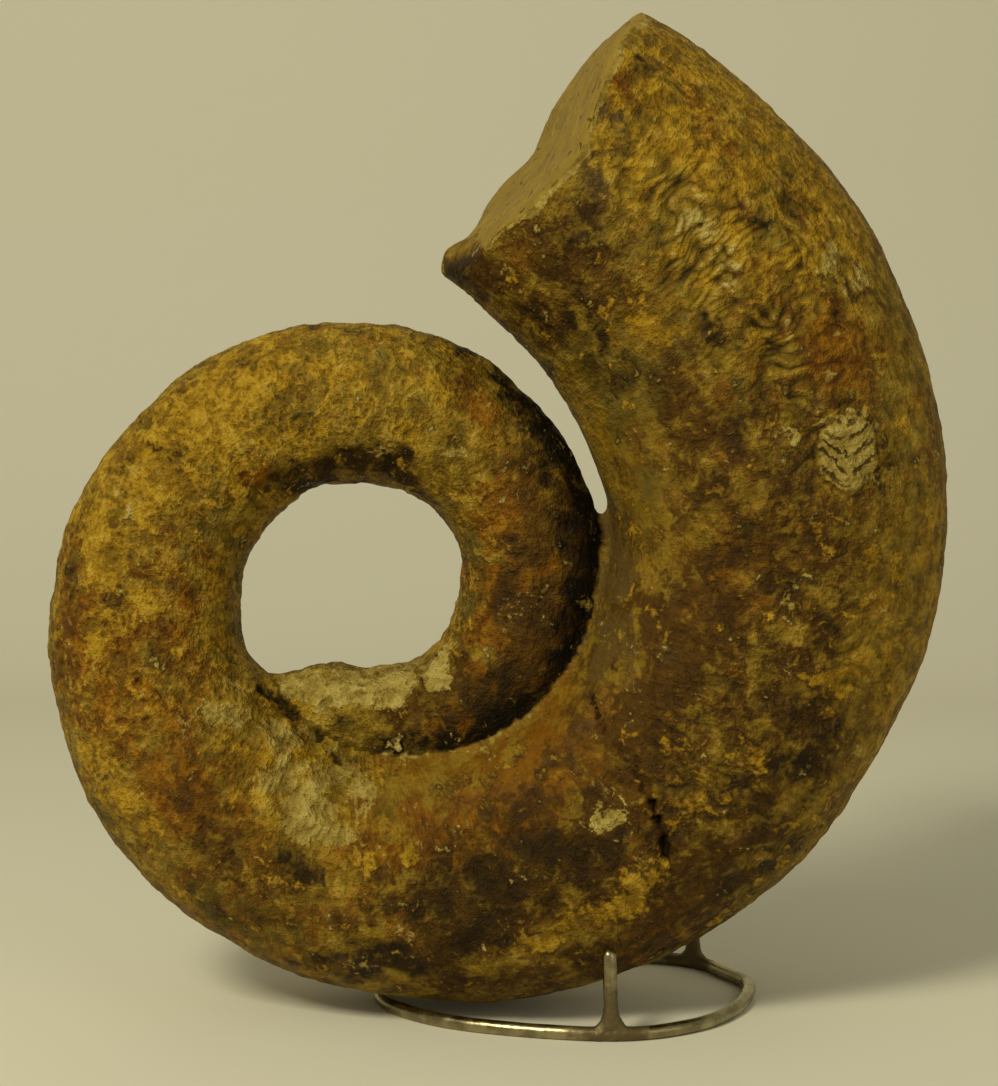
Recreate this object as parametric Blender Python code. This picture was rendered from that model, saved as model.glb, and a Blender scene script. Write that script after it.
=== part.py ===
"""Stone mould of a loosely coiled ammonite, standing on a bent-rod ring with three prongs.

Metres, +Z up. The coil lies in the XZ plane and is seen from -Y. The origin is on the floor, under the
middle of the bounding box. Angles along the coil are growth angles in degrees: 0 is the last whorl's
crossing of the +X side, and each earlier turn counts 360 less.
"""

import math

import bmesh
import bpy
import numpy as np
from mathutils import Matrix, Vector
from mathutils.bvhtree import BVHTree

MM = 0.001

# Coil: where its axis stands, and how far the tube's inner and outer sides are from it. The tube is drawn
# smoothly through these sections, and its thickness is a fixed share of its height.
COIL_AXIS = Vector((-62, -3, 183)) * MM
WHORL = [  # growth angle, inner and outer side in mm
    (-490, 54, 65),
    (-475, 42, 71),
    (-460, 37, 76),
    (-435, 40, 87),
    (-405, 45, 98),
    (-375, 46, 105),
    (-330, 46, 107),
    (-300, 41, 107),
    (-255, 39, 107),
    (-210, 40, 113),
    (-180, 45, 124),
    (-150, 52, 138),
    (-120, 57, 157),
    (-90, 67, 174),
    (-60, 80, 200),
    (-30, 95, 225),
    (-15, 100, 238),
    (0, 105, 247),
    (30, 115, 259),
    (48, 118, 262),
    (60, 122, 261),
    (68, 128, 260),
    (84, 138, 257),
]
WHORL_ROUNDNESS = 0.97  # thickness as a share of the height from inner to outer side
FLANK_FULLNESS = 2.12  # superellipse power, where 2 is a true ellipse
WHORL_JOIN = -180  # growth angle where the inner and the outer length of the coil meet
RING_STEP = 5.0  # growth degrees between two sections
SECTION_SIDES = 28
SWELLS = [  # gentle lumps of the worn surface: share of the radius, turns along and round, phase
    (0.012, 7.0, 1, 0.4),
    (0.010, 11.0, 2, 2.1),
    (0.006, 16.0, 3, 4.4),
]

# Broken mouth: two points on its middle line from the coil axis, and its lean towards the front
MOUTH_TIP = Vector((45, 126)) * MM
MOUTH_TOP = Vector((121, 231)) * MM
MOUTH_LEAN = math.radians(10.0)
MOUTH_BLOCK = Vector((168, 152, 110)) * MM  # across, along the break and outwards
MOUTH_CELLS = (22, 20)
MOUTH_SWELLS = [  # place and half length along the break, then the height at its back and its front edge, mm
    (42, 26, 2, 9),
    (0, 16, -4, -1),
    (-46, 13, -1, 6),
]
MOUTH_WIDTH = 120.0  # mm from the back edge to the front one
MOUTH_ROUGHNESS = 0.5  # mm
KNOB_HEIGHT = 9.0  # mm, left standing at the lower corner of the break
KNOB_PLACE = -61.0  # mm along the break from its middle
KNOB_HALF_SIZES = (20.0, 11.0)  # mm across and along the break

# Open crack in the lower right of the last whorl, on the front
CRACK_ENDS = (Vector((62, 94)) * MM, Vector((72, 66)) * MM)  # x and z
CRACK_WIDTH = 3.2 * MM
CRACK_DEPTH = 7.0 * MM
CRACK_FRONT_Y = -63.0 * MM

# Stand: one rod bent to a ring, closed by a weld, with three prongs welded on
ROD_DIAMETER = 6.0 * MM
RING_FLAT = 0.3 * MM  # filed off the ring's underside
RING_HEIGHT = ROD_DIAMETER / 2 - RING_FLAT
RING_BENDS = [  # x and y of the rod's centre where it was bent, mm
    (-50, 4),
    (-40, -22),
    (-10, -44),
    (44, -57),
    (78, -46),
    (99, -21),
    (109, 14),
    (102, 34),
    (86, 57),
    (44, 68),
    (2, 64),
    (-36, 42),
]
RING_SEGMENTS = 64
ROD_SIDES_RESOLUTION = 4
PRONGS = {  # where the foot stands on the ring and where the rounded tip is, in plan, mm
    "front": ((46, -57), (45, -53)),
    "rear_right": ((88, 55), (88, 40)),
    "rear_left": ((18, 67), (19, 38)),
}
PRONG_GAP = 0.5 * MM  # left between a tip and the stone over it
TIP_STEPS = 60
PRONG_SIDES = 16
FLOOR_BLOCK = 260 * MM
WELD_LEVELS = [  # height above the rod's centre, then half sizes along and across the ring, mm
    (0.0, 8.6, 2.3),
    (2.2, 8.2, 2.6),
    (3.3, 6.4, 2.9),
    (5.0, 4.7, 3.0),
    (7.6, 3.6, 3.0),
    (11.0, 3.0, 3.0),
]

# Colours, linear
STONE_COLOUR = (0.19, 0.105, 0.022, 1.0)
BRASS_COLOUR = (0.33, 0.27, 0.12, 1.0)


def clear_scene():
    for obj in list(bpy.data.objects):
        bpy.data.objects.remove(obj)


def new_collection(name):
    collection = bpy.data.collections.new(name)
    bpy.context.scene.collection.children.link(collection)
    return collection


def new_material(name, colour, roughness, metallic):
    material = bpy.data.materials.new(name)
    material.use_nodes = True
    shader = material.node_tree.nodes["Principled BSDF"]
    shader.inputs["Base Color"].default_value = colour
    shader.inputs["Roughness"].default_value = roughness
    shader.inputs["Metallic"].default_value = metallic
    return material


def mesh_object(name, bm, collection):
    mesh = bpy.data.meshes.new(name)
    bmesh.ops.recalc_face_normals(bm, faces=bm.faces)
    bm.to_mesh(mesh)
    bm.free()
    obj = bpy.data.objects.new(name, mesh)
    collection.objects.link(obj)
    return obj


def make_cutter(obj):
    obj.hide_render = True
    obj.display_type = "WIRE"
    return obj


def add_boolean(obj, operation, other):
    modifier = obj.modifiers.new(operation.title() + "_" + other.name, "BOOLEAN")
    modifier.operation = operation
    modifier.object = other
    modifier.solver = "EXACT"
    return modifier


def smooth_value(table, place, column):
    """A column of a table at any place in its first column, on a Catmull-Rom curve through the rows."""
    places = [row[0] for row in table]
    values = [row[column] for row in table]
    i = int(np.clip(np.searchsorted(places, place) - 1, 0, len(table) - 2))
    slopes = np.gradient(values, places)
    span = places[i + 1] - places[i]
    t = float(np.clip((place - places[i]) / span, 0, 1))
    start, end = values[i], values[i + 1]
    return (
        (2 * t**3 - 3 * t**2 + 1) * start
        + (t**3 - 2 * t**2 + t) * span * slopes[i]
        + (3 * t**2 - 2 * t**3) * end
        + (t**3 - t**2) * span * slopes[i + 1]
    )


def coil_point(growth, radius, depth):
    """The point at a growth angle, a radius from the coil axis and a depth behind the coil's plane."""
    angle = math.radians(growth)
    return COIL_AXIS + Vector((radius * math.cos(angle), depth, radius * math.sin(angle)))


def rounded(cosine):
    """One component of a superellipse, from the sine or cosine of its angle."""
    return math.copysign(abs(cosine) ** (2 / FLANK_FULLNESS), cosine)


def swell_share(growth, turn):
    """How far the worn surface stands off the smooth section, as a share of the section's radius."""
    share = 0
    for size, along, round_it, phase in SWELLS:
        share += size * math.sin(along * math.radians(growth) + round_it * turn + phase)
    return share


def whorl_section(growth):
    """Points round the whorl's section in the plane through the coil axis."""
    inner = smooth_value(WHORL, growth, 1) * MM
    outer = smooth_value(WHORL, growth, 2) * MM
    middle, half = (inner + outer) / 2, (outer - inner) / 2
    half_thickness = WHORL_ROUNDNESS * half
    points = []
    for k in range(SECTION_SIDES):
        turn = 2 * math.pi * k / SECTION_SIDES
        swell = 1 + swell_share(growth, turn)
        radius = middle + half * swell * rounded(math.cos(turn))
        depth = half_thickness * swell * rounded(math.sin(turn))
        points.append(coil_point(growth, radius, depth))
    return points


def build_whorl(name, first, last, collection):
    """One length of the coiled tube, as a closed loft through its sections."""
    count = round((last - first) / RING_STEP) + 1
    bm = bmesh.new()
    rings = []
    for growth in np.linspace(first, last, count):
        rings.append([bm.verts.new(p) for p in whorl_section(float(growth))])
    for lower, upper in zip(rings, rings[1:]):
        for k in range(SECTION_SIDES):
            n = (k + 1) % SECTION_SIDES
            bm.faces.new((lower[k], lower[n], upper[n], upper[k]))
    bm.faces.new(rings[0])
    bm.faces.new(rings[-1])
    return mesh_object(name, bm, collection)


def break_height(x, y):
    """Height of the broken surface over its plane, at millimetres across and along it."""
    rough = math.sin(x / 11.5 + 1.3 * math.sin(y / 9)) + math.sin(y / 5.8 - x / 19 + 2)
    knob = math.exp(-((x / KNOB_HALF_SIZES[0]) ** 2) - ((y - KNOB_PLACE) / KNOB_HALF_SIZES[1]) ** 2)
    front = float(np.clip(0.5 + x / MOUTH_WIDTH, 0, 1))
    face = 0
    for place, half_length, at_back, at_front in MOUTH_SWELLS:
        swell = at_back * (1 - front) + at_front * front
        face += swell * math.exp(-(((y - place) / half_length) ** 2))
    return face + MOUTH_ROUGHNESS * rough * (1 - knob) + KNOB_HEIGHT * knob


def build_mouth_cutter(collection):
    """A block whose near face is the uneven surface of the broken mouth, with a hollow that leaves the knob."""
    bm = bmesh.new()
    bmesh.ops.create_grid(bm, x_segments=MOUTH_CELLS[0], y_segments=MOUTH_CELLS[1], size=0.5)
    for vert in bm.verts:
        vert.co.x *= MOUTH_BLOCK.x
        vert.co.y *= MOUTH_BLOCK.y
        vert.co.z = break_height(vert.co.x / MM, vert.co.y / MM) * MM
    made = bmesh.ops.extrude_face_region(bm, geom=bm.faces[:])
    for vert in made["geom"]:
        if isinstance(vert, bmesh.types.BMVert):
            vert.co.z = MOUTH_BLOCK.z
    cutter = mesh_object("mouth_cutter", bm, collection)
    along = (MOUTH_TOP - MOUTH_TIP).normalized()
    outward = Vector((-along.y, 0, along.x))
    normal = outward * math.cos(MOUTH_LEAN) + Vector((0, -math.sin(MOUTH_LEAN), 0))
    upward = Vector((along.x, 0, along.y))
    across = upward.cross(normal)
    middle = (MOUTH_TIP + MOUTH_TOP) / 2
    turn = Matrix((across, upward, normal)).transposed().to_4x4()
    cutter.data.transform(Matrix.Translation(COIL_AXIS + Vector((middle.x, 0, middle.y))) @ turn)
    return make_cutter(cutter)


def build_crack_cutter(collection):
    """A lens-shaped blade that opens the crack, thin at both ends."""
    upper, lower = CRACK_ENDS
    length = (upper - lower).length
    bm = bmesh.new()
    bmesh.ops.create_icosphere(bm, subdivisions=2, radius=1.0)
    cutter = mesh_object("crack_cutter", bm, collection)
    along = (upper - lower).normalized()
    along = Vector((along.x, 0, along.y))
    middle = (upper + lower) / 2
    turn = Matrix((Vector((0, 1, 0)).cross(along), Vector((0, 1, 0)), along)).transposed().to_4x4()
    place = Matrix.Translation((middle.x, CRACK_FRONT_Y, middle.y))
    cutter.data.transform(place @ turn @ Matrix.Diagonal((CRACK_WIDTH / 2, CRACK_DEPTH, length / 2, 1.0)))
    return make_cutter(cutter)


def build_ammonite(collection, cutters, material):
    """Both lengths of the coil as one piece, broken off at the mouth."""
    first, last = WHORL[0][0], WHORL[-1][0]
    ammonite = build_whorl("ammonite", WHORL_JOIN, last, collection)
    ammonite.data.materials.append(material)
    inner_whorl = make_cutter(build_whorl("inner_whorl", first, WHORL_JOIN, cutters))
    add_boolean(ammonite, "UNION", inner_whorl)
    add_boolean(ammonite, "DIFFERENCE", build_mouth_cutter(cutters))
    add_boolean(ammonite, "DIFFERENCE", build_crack_cutter(cutters))
    return ammonite


def closed_smooth_path(corners, count):
    """Evenly spaced points on a closed Catmull-Rom curve through the corners."""
    fine = []
    size = len(corners)
    for i in range(size):
        a, b, c, d = (Vector(corners[(i + k) % size]) for k in (-1, 0, 1, 2))
        for t in np.linspace(0, 1, 24, endpoint=False):
            fine.append(
                0.5 * (2 * b + (c - a) * t + (2 * a - 5 * b + 4 * c - d) * t**2 + (3 * b - a - 3 * c + d) * t**3)
            )
    steps = [(fine[(i + 1) % len(fine)] - fine[i]).length for i in range(len(fine))]
    travelled = np.concatenate([[0], np.cumsum(steps)])
    closed = np.array([*fine, fine[0]])
    wanted = np.linspace(0, travelled[-1], count, endpoint=False)
    return [Vector(np.interp(wanted[k], travelled, closed[:, axis]) for axis in range(2)) for k in range(count)]


def closed_rod(name, points, collection):
    """A round rod along a closed loop of points, turned into a mesh."""
    curve = bpy.data.curves.new(name, "CURVE")
    curve.dimensions = "3D"
    curve.bevel_depth = ROD_DIAMETER / 2
    curve.bevel_resolution = ROD_SIDES_RESOLUTION
    spline = curve.splines.new("POLY")
    spline.points.add(len(points) - 1)
    for point, place in zip(spline.points, points):
        point.co = (*place, 1.0)
    spline.use_cyclic_u = True
    guide = bpy.data.objects.new(name + "_guide", curve)
    collection.objects.link(guide)
    bpy.context.view_layer.update()
    evaluated = guide.evaluated_get(bpy.context.evaluated_depsgraph_get())
    mesh = bpy.data.meshes.new_from_object(evaluated)
    bpy.data.objects.remove(guide)
    bm = bmesh.new()
    bm.from_mesh(mesh)
    bmesh.ops.remove_doubles(bm, verts=bm.verts, dist=1e-6)
    bpy.data.meshes.remove(mesh)
    return mesh_object(name, bm, collection)


def nearest_bend(path, foot):
    """The number of the ring's point that is nearest to a foot."""
    return min(range(len(path)), key=lambda i: (path[i] - foot).length)


def tip_height(x, y, stone):
    """How high a prong's tip reaches at a place in plan, raised until only the gap is left under the stone."""
    radius = ROD_DIAMETER / 2
    middle = Vector((x, y, RING_HEIGHT + radius))
    for _ in range(TIP_STEPS):
        distance = stone.find_nearest(middle)[3]
        middle.z += distance - radius - PRONG_GAP
    return middle.z + radius


def build_prong(name, foot, tip, along, collection):
    """A straight prong with a rounded tip. Its foot spreads along the ring as the weld does."""
    start = Vector((*foot, RING_HEIGHT))
    lean = tip - start
    radius = ROD_DIAMETER / 2
    side = Vector((along.x, along.y, 0))
    across = Vector((-along.y, along.x, 0))
    levels = [(z * MM, a * MM, b * MM) for z, a, b in WELD_LEVELS]
    for angle in (0, 30, 55, 75):
        reach = radius * math.cos(math.radians(angle))
        levels.append((lean.z - radius * (1 - math.sin(math.radians(angle))), reach, reach))
    bm = bmesh.new()
    rings = []
    for height, half_along, half_across in levels:
        centre = start + lean * (height / lean.z)
        ring = []
        for k in range(PRONG_SIDES):
            turn = 2 * math.pi * k / PRONG_SIDES
            offset = side * (half_along * math.cos(turn)) + across * (half_across * math.sin(turn))
            ring.append(bm.verts.new(centre + offset))
        rings.append(ring)
    for lower, upper in zip(rings, rings[1:]):
        for k in range(PRONG_SIDES):
            n = (k + 1) % PRONG_SIDES
            bm.faces.new((lower[k], lower[n], upper[n], upper[k]))
    bm.faces.new(rings[0])
    peak = bm.verts.new(tip)
    for k in range(PRONG_SIDES):
        bm.faces.new((rings[-1][k], rings[-1][(k + 1) % PRONG_SIDES], peak))
    return make_cutter(mesh_object(name, bm, collection))


def build_stand(collection, cutters, material, ammonite):
    """The ring with its prongs as one piece, its underside filed flat and its prongs reaching up to the stone."""
    bpy.context.view_layer.update()
    stone = BVHTree.FromObject(ammonite, bpy.context.evaluated_depsgraph_get())
    path = closed_smooth_path([Vector(bend) * MM for bend in RING_BENDS], RING_SEGMENTS)
    stand = closed_rod("stand", [(*p, RING_HEIGHT) for p in path], collection)
    stand.data.materials.append(material)
    for name, (foot_plan, tip_plan) in PRONGS.items():
        k = nearest_bend(path, Vector(foot_plan) * MM)
        along = (path[(k + 1) % len(path)] - path[k - 1]).normalized()
        tip_x, tip_y = Vector(tip_plan) * MM
        tip = Vector((tip_x, tip_y, tip_height(tip_x, tip_y, stone)))
        add_boolean(stand, "UNION", build_prong(name + "_prong", path[k], tip, along, cutters))
    bm = bmesh.new()
    bmesh.ops.create_cube(bm, size=FLOOR_BLOCK)
    bmesh.ops.translate(bm, verts=bm.verts, vec=(FLOOR_BLOCK / 10, 0, -FLOOR_BLOCK / 2))
    add_boolean(stand, "DIFFERENCE", make_cutter(mesh_object("floor_cutter", bm, cutters)))
    return stand


def shade_round(obj):
    obj.data.shade_smooth()
    obj.data.set_sharp_from_angle(angle=math.radians(40))


def main():
    clear_scene()
    parts = new_collection("ammonite_on_stand")
    cutters = new_collection("cutters")
    stone = new_material("fossil_stone", STONE_COLOUR, 0.62, 0.0)
    brass = new_material("stand_brass", BRASS_COLOUR, 0.42, 1.0)
    ammonite = build_ammonite(parts, cutters, stone)
    shade_round(ammonite)
    shade_round(build_stand(parts, cutters, brass, ammonite))


main()
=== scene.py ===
"""Looks for a loosely coiled fossil ammonite that stands on a bent-rod ring.

Lengths are millimetres in the part's frame, or metres where they are multiplied by MM and on the stage.
Angles along the coil are growth angles in degrees: 0 is where the last whorl crosses the coil's +X side, and
each earlier turn is 360 less.
"""

import itertools
import math

import bmesh
import bpy
import numpy as np
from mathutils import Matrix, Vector


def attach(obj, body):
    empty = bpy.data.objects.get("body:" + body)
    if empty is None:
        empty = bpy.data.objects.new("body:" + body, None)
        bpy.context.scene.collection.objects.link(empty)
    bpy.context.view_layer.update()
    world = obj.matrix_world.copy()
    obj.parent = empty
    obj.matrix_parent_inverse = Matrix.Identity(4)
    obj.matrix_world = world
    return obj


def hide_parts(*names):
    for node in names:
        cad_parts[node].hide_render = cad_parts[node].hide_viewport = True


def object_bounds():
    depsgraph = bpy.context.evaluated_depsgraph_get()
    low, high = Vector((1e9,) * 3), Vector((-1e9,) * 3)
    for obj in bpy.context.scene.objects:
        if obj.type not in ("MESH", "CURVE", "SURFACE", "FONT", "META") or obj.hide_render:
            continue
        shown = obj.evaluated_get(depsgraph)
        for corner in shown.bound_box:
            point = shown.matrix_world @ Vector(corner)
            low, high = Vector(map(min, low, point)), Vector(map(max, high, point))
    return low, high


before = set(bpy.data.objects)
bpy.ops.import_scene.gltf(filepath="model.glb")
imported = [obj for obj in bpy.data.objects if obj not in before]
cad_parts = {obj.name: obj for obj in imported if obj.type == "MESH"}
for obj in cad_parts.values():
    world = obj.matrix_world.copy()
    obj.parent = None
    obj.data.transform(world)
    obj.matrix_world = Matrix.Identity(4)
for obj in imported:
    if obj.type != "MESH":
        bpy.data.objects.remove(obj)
cad_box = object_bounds()

MM = 0.001

# Ammonite: the stone mould of a loosely coiled shell, ochre and brown limestone with patches of pale matrix.
# It grew as one tube and broke off at the mouth, so it is one loft along the coil, cut by an uneven break,
# remeshed to an even skin and then weathered.

COIL_AXIS = np.array((-62.0, -3.0, 183.0))
WHORL = np.array([  # growth angle, inner and outer side
    (-490, 54, 65),
    (-475, 42, 71),
    (-460, 37, 76),
    (-435, 40, 87),
    (-405, 45, 98),
    (-375, 46, 105),
    (-330, 46, 107),
    (-300, 41, 107),
    (-255, 39, 107),
    (-210, 40, 113),
    (-180, 45, 124),
    (-150, 52, 138),
    (-120, 57, 157),
    (-90, 67, 174),
    (-60, 80, 200),
    (-30, 95, 225),
    (-15, 100, 238),
    (0, 105, 247),
    (30, 115, 259),
    (48, 118, 262),
    (60, 122, 261),
    (68, 128, 260),
    (84, 138, 257),
], float)
WHORL_ROUNDNESS = 0.97
FLANK_FULLNESS = 2.12  # power of the section's curve, which would be an ellipse at 2
# Worn swells: height as a share of the tube's half size, waves in a whorl and round the tube, and phase
SWELLS = ((0.012, 7, 1, 0.4), (0.010, 11, 2, 2.1), (0.006, 16, 3, 4.4))
MOUTH_TIP = np.array((45.0, 126.0))  # x and z of the break's two ends, from the coil's axis
MOUTH_TOP = np.array((121.0, 231.0))
MOUTH_LEAN = math.radians(10)
MOUTH_START = 36  # growth degrees where the tube's rings begin to turn towards the break
# Lumps of the break: middle and half length along it, then height at its back and at its front
MOUTH_SWELLS = ((42, 26, 2, 9), (0, 16, -4, -1), (-46, 13, -1, 6))
MOUTH_WIDTH = 120
MOUTH_ROUGHNESS = 0.5
KNOB_HEIGHT, KNOB_PLACE, KNOB_HALF_SIZES = 9.0, -61, (20, 11)
RINGS, END_RINGS, CAP_RINGS, SIDES = 420, 26, 40, 128
CAP_MIDDLE = 0.02  # size of the cap's last ring as a share of the rim
MOUTH_TRIALS = 400  # places along each line of the skin where it is tried against the break
SKIN_CELL, SKIN_ROUNDS = 2.16 * MM, 3


def station(table, place, column):
    """A column of a table at places in its first column, on a smooth curve through its rows."""
    places, values = table[:, 0], table[:, column]
    slopes = np.gradient(values, places)
    i = np.clip(np.searchsorted(places, place) - 1, 0, len(places) - 2)
    span = places[i + 1] - places[i]
    t = np.clip((place - places[i]) / span, 0, 1)
    return (
        (2 * t**3 - 3 * t**2 + 1) * values[i]
        + (t**3 - 2 * t**2 + t) * span * slopes[i]
        + (3 * t**2 - 2 * t**3) * values[i + 1]
        + (t**3 - t**2) * span * slopes[i + 1]
    )


def skin(growth, turn):
    """Points of the tube's skin at growth angles and turns round its section, from the coil's outside."""
    inner, outer = (station(WHORL, growth, column) for column in (1, 2))
    middle, half = (inner + outer) / 2, (outer - inner) / 2
    swell = 1
    for size, along, round_it, phase in SWELLS:
        swell = swell + size * np.sin(along * np.radians(growth) + round_it * turn + phase)
    across, deep = (
        np.sign(wave) * np.abs(wave) ** (2 / FLANK_FULLNESS) for wave in (np.cos(turn), np.sin(turn))
    )
    radius = middle + half * swell * across
    depth = WHORL_ROUNDNESS * half * swell * deep
    angle = np.radians(growth)
    return COIL_AXIS + np.stack((radius * np.cos(angle), depth, radius * np.sin(angle)), axis=-1)


mouth_line = (MOUTH_TOP - MOUTH_TIP) / np.linalg.norm(MOUTH_TOP - MOUTH_TIP)
mouth_middle = (MOUTH_TIP + MOUTH_TOP) / 2
mouth_centre = COIL_AXIS + (mouth_middle[0], 0, mouth_middle[1])
mouth_up = np.array((mouth_line[0], 0, mouth_line[1]))
mouth_out = np.array((
    -mouth_line[1] * math.cos(MOUTH_LEAN),
    -math.sin(MOUTH_LEAN),
    mouth_line[0] * math.cos(MOUTH_LEAN),
))
mouth_across = np.cross(mouth_up, mouth_out)


def break_height(x, y):
    """Height of the broken surface over its plane, across and along it."""
    hollows = np.sin(x / 11.5 + 1.3 * np.sin(y / 9)) + np.sin(y / 5.8 - x / 19 + 2)
    knob = np.exp(-((x / KNOB_HALF_SIZES[0]) ** 2) - ((y - KNOB_PLACE) / KNOB_HALF_SIZES[1]) ** 2)
    front = np.clip(0.5 + x / MOUTH_WIDTH, 0, 1)
    face = 0
    for middle, half_length, at_back, at_front in MOUTH_SWELLS:
        lump = np.exp(-(((y - middle) / half_length) ** 2))
        face = face + (at_back * (1 - front) + at_front * front) * lump
    return face + MOUTH_ROUGHNESS * hollows * (1 - knob) + KNOB_HEIGHT * knob


def on_break(points):
    """Places of points across and along the broken surface, and how far they are outside it."""
    offset = points - mouth_centre
    across, along = offset @ mouth_across, offset @ mouth_up
    return across, along, offset @ mouth_out - break_height(across, along)


def whole_tube():
    """The coiled tube as rings of points, the last ones closing it over the broken surface."""
    turns = np.linspace(0, 2 * math.pi, SIDES, endpoint=False)
    steady = np.linspace(WHORL[0, 0], MOUTH_START, RINGS)
    rings = [skin(np.full(SIDES, growth), turns) for growth in steady]
    trial = np.linspace(MOUTH_START, WHORL[-1, 0], MOUTH_TRIALS)
    outside = on_break(skin(trial[:, None], turns[None, :]))[2] > 0
    ends = trial[np.where(outside.any(axis=0), outside.argmax(axis=0), -1)]
    for share in np.linspace(0, 1, END_RINGS + 1)[1:]:
        rings.append(skin(MOUTH_START + share * (ends - MOUTH_START), turns))
    rim = rings[-1]
    middle = rim.mean(axis=0)
    for share in np.linspace(1, CAP_MIDDLE, CAP_RINGS)[1:]:
        flat = middle + share * (rim - middle)
        rings.append(flat - on_break(flat)[2][:, None] * mouth_out)
    return rings


def tube_mesh(name, *tubes):
    """A mesh of closed tubes in metres, each through its rings of points."""
    bm = bmesh.new()
    for rings in tubes:
        loops = [[bm.verts.new(Vector(p) * MM) for p in ring] for ring in rings]
        for lower, upper in zip(loops, loops[1:]):
            for k, vert in enumerate(lower):
                n = (k + 1) % len(lower)
                bm.faces.new((vert, lower[n], upper[n], upper[k]))
        bm.faces.new(loops[0])
        bm.faces.new(loops[-1])
    bmesh.ops.recalc_face_normals(bm, faces=bm.faces)
    mesh = bpy.data.meshes.new(name)
    bm.to_mesh(mesh)
    bm.free()
    return mesh


def link(name, data):
    """A new object of a mesh, a light or a camera."""
    obj = bpy.data.objects.new(name, data)
    bpy.context.scene.collection.objects.link(obj)
    return obj


def remeshed(name, mesh, cell):
    """One even skin of square faces round everything in a mesh."""
    rough = link(name + "_rough", mesh)
    modifier = rough.modifiers.new("even_skin", "REMESH")
    modifier.mode = "VOXEL"
    modifier.voxel_size = cell
    bpy.context.view_layer.update()
    graph = bpy.context.evaluated_depsgraph_get()
    even = bpy.data.meshes.new_from_object(rough.evaluated_get(graph))
    bpy.data.objects.remove(rough)
    return even


def points_of(mesh):
    """The mesh's points in millimetres."""
    points = np.empty(len(mesh.vertices) * 3)
    mesh.vertices.foreach_get("co", points)
    return points.reshape(-1, 3) / MM


def put_points(mesh, points):
    mesh.vertices.foreach_set("co", (points * MM).ravel())
    mesh.update()


def normals_of(mesh):
    normals = np.empty(len(mesh.vertices) * 3, np.float32)
    mesh.vertex_normals.foreach_get("vector", normals)
    return normals.reshape(-1, 3).astype(float)


def relaxed(mesh, points, rounds, share=0.5):
    """Points drawn towards their neighbours' mean, which takes out the steps of the remesh."""
    ends = np.empty(len(mesh.edges) * 2, np.int64)
    mesh.edges.foreach_get("vertices", ends)
    first, second = ends[0::2], ends[1::2]
    count = np.bincount(ends, minlength=len(points))[:, None]
    for _ in range(rounds):
        total = np.empty_like(points)
        for axis in range(3):
            total[:, axis] = np.bincount(first, points[second, axis], len(points))
            total[:, axis] += np.bincount(second, points[first, axis], len(points))
        points = points + share * (total / count - points)
    return points


def step(low, high, value):
    """0 below low, 1 above high and a smooth step between, which may run either way."""
    t = np.clip((value - low) / (high - low), 0, 1)
    return t * t * (3 - 2 * t)


LATTICE_STEPS, SEED_STEP = np.array((374761393, 668265263, 2147483647)), 97531
SCRAMBLES = ((13, 1274126177), (16, 2246822519))  # shifts and factors that scramble a lattice number
OCTAVE_STEP, OCTAVE_SHARE, NOISE_SPREAD = 7.3, 0.5, 1.6


def noise(points, size, seed, octaves=1):
    """Smooth random values of about -1 to 1, in lumps of a size in millimetres."""
    total = np.zeros(len(points))
    for octave in range(octaves):
        lattice = points / size * 2**octave + OCTAVE_STEP * octave
        cell = np.floor(lattice).astype(np.int64)
        part = lattice - cell
        fade = part**3 * (part * (6 * part - 15) + 10)
        layer = np.zeros(len(points))
        for corner in itertools.product((0, 1), repeat=3):
            mixed = (cell + corner) @ LATTICE_STEPS + (seed + octave) * SEED_STEP
            for shift, factor in SCRAMBLES:
                mixed = (mixed ^ (mixed >> shift)) * factor & 0xFFFFFFFF
            slopes = np.stack([(mixed >> shift & 255) / 127.5 - 1 for shift in (0, 8, 16)], axis=-1)
            lean = ((part - corner) * slopes).sum(axis=1)
            share = np.prod(np.where(np.array(corner) == 1, fade, 1 - fade), axis=1)
            layer += share * lean
        total += layer * OCTAVE_SHARE**octave
    return total * NOISE_SPREAD


def noise_vector(points, size, seed, octaves=1):
    return np.stack([noise(points, size, seed + k, octaves) for k in range(3)], axis=-1)


PAST_INNER_END, PAST_MOUTH = 8, 4  # growth degrees by which the skin may pass the coil's ends
OFF_COIL = 9.0  # added to the miss of a place past them, so that the other turn is taken
COIL_STEPS = 600


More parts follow.
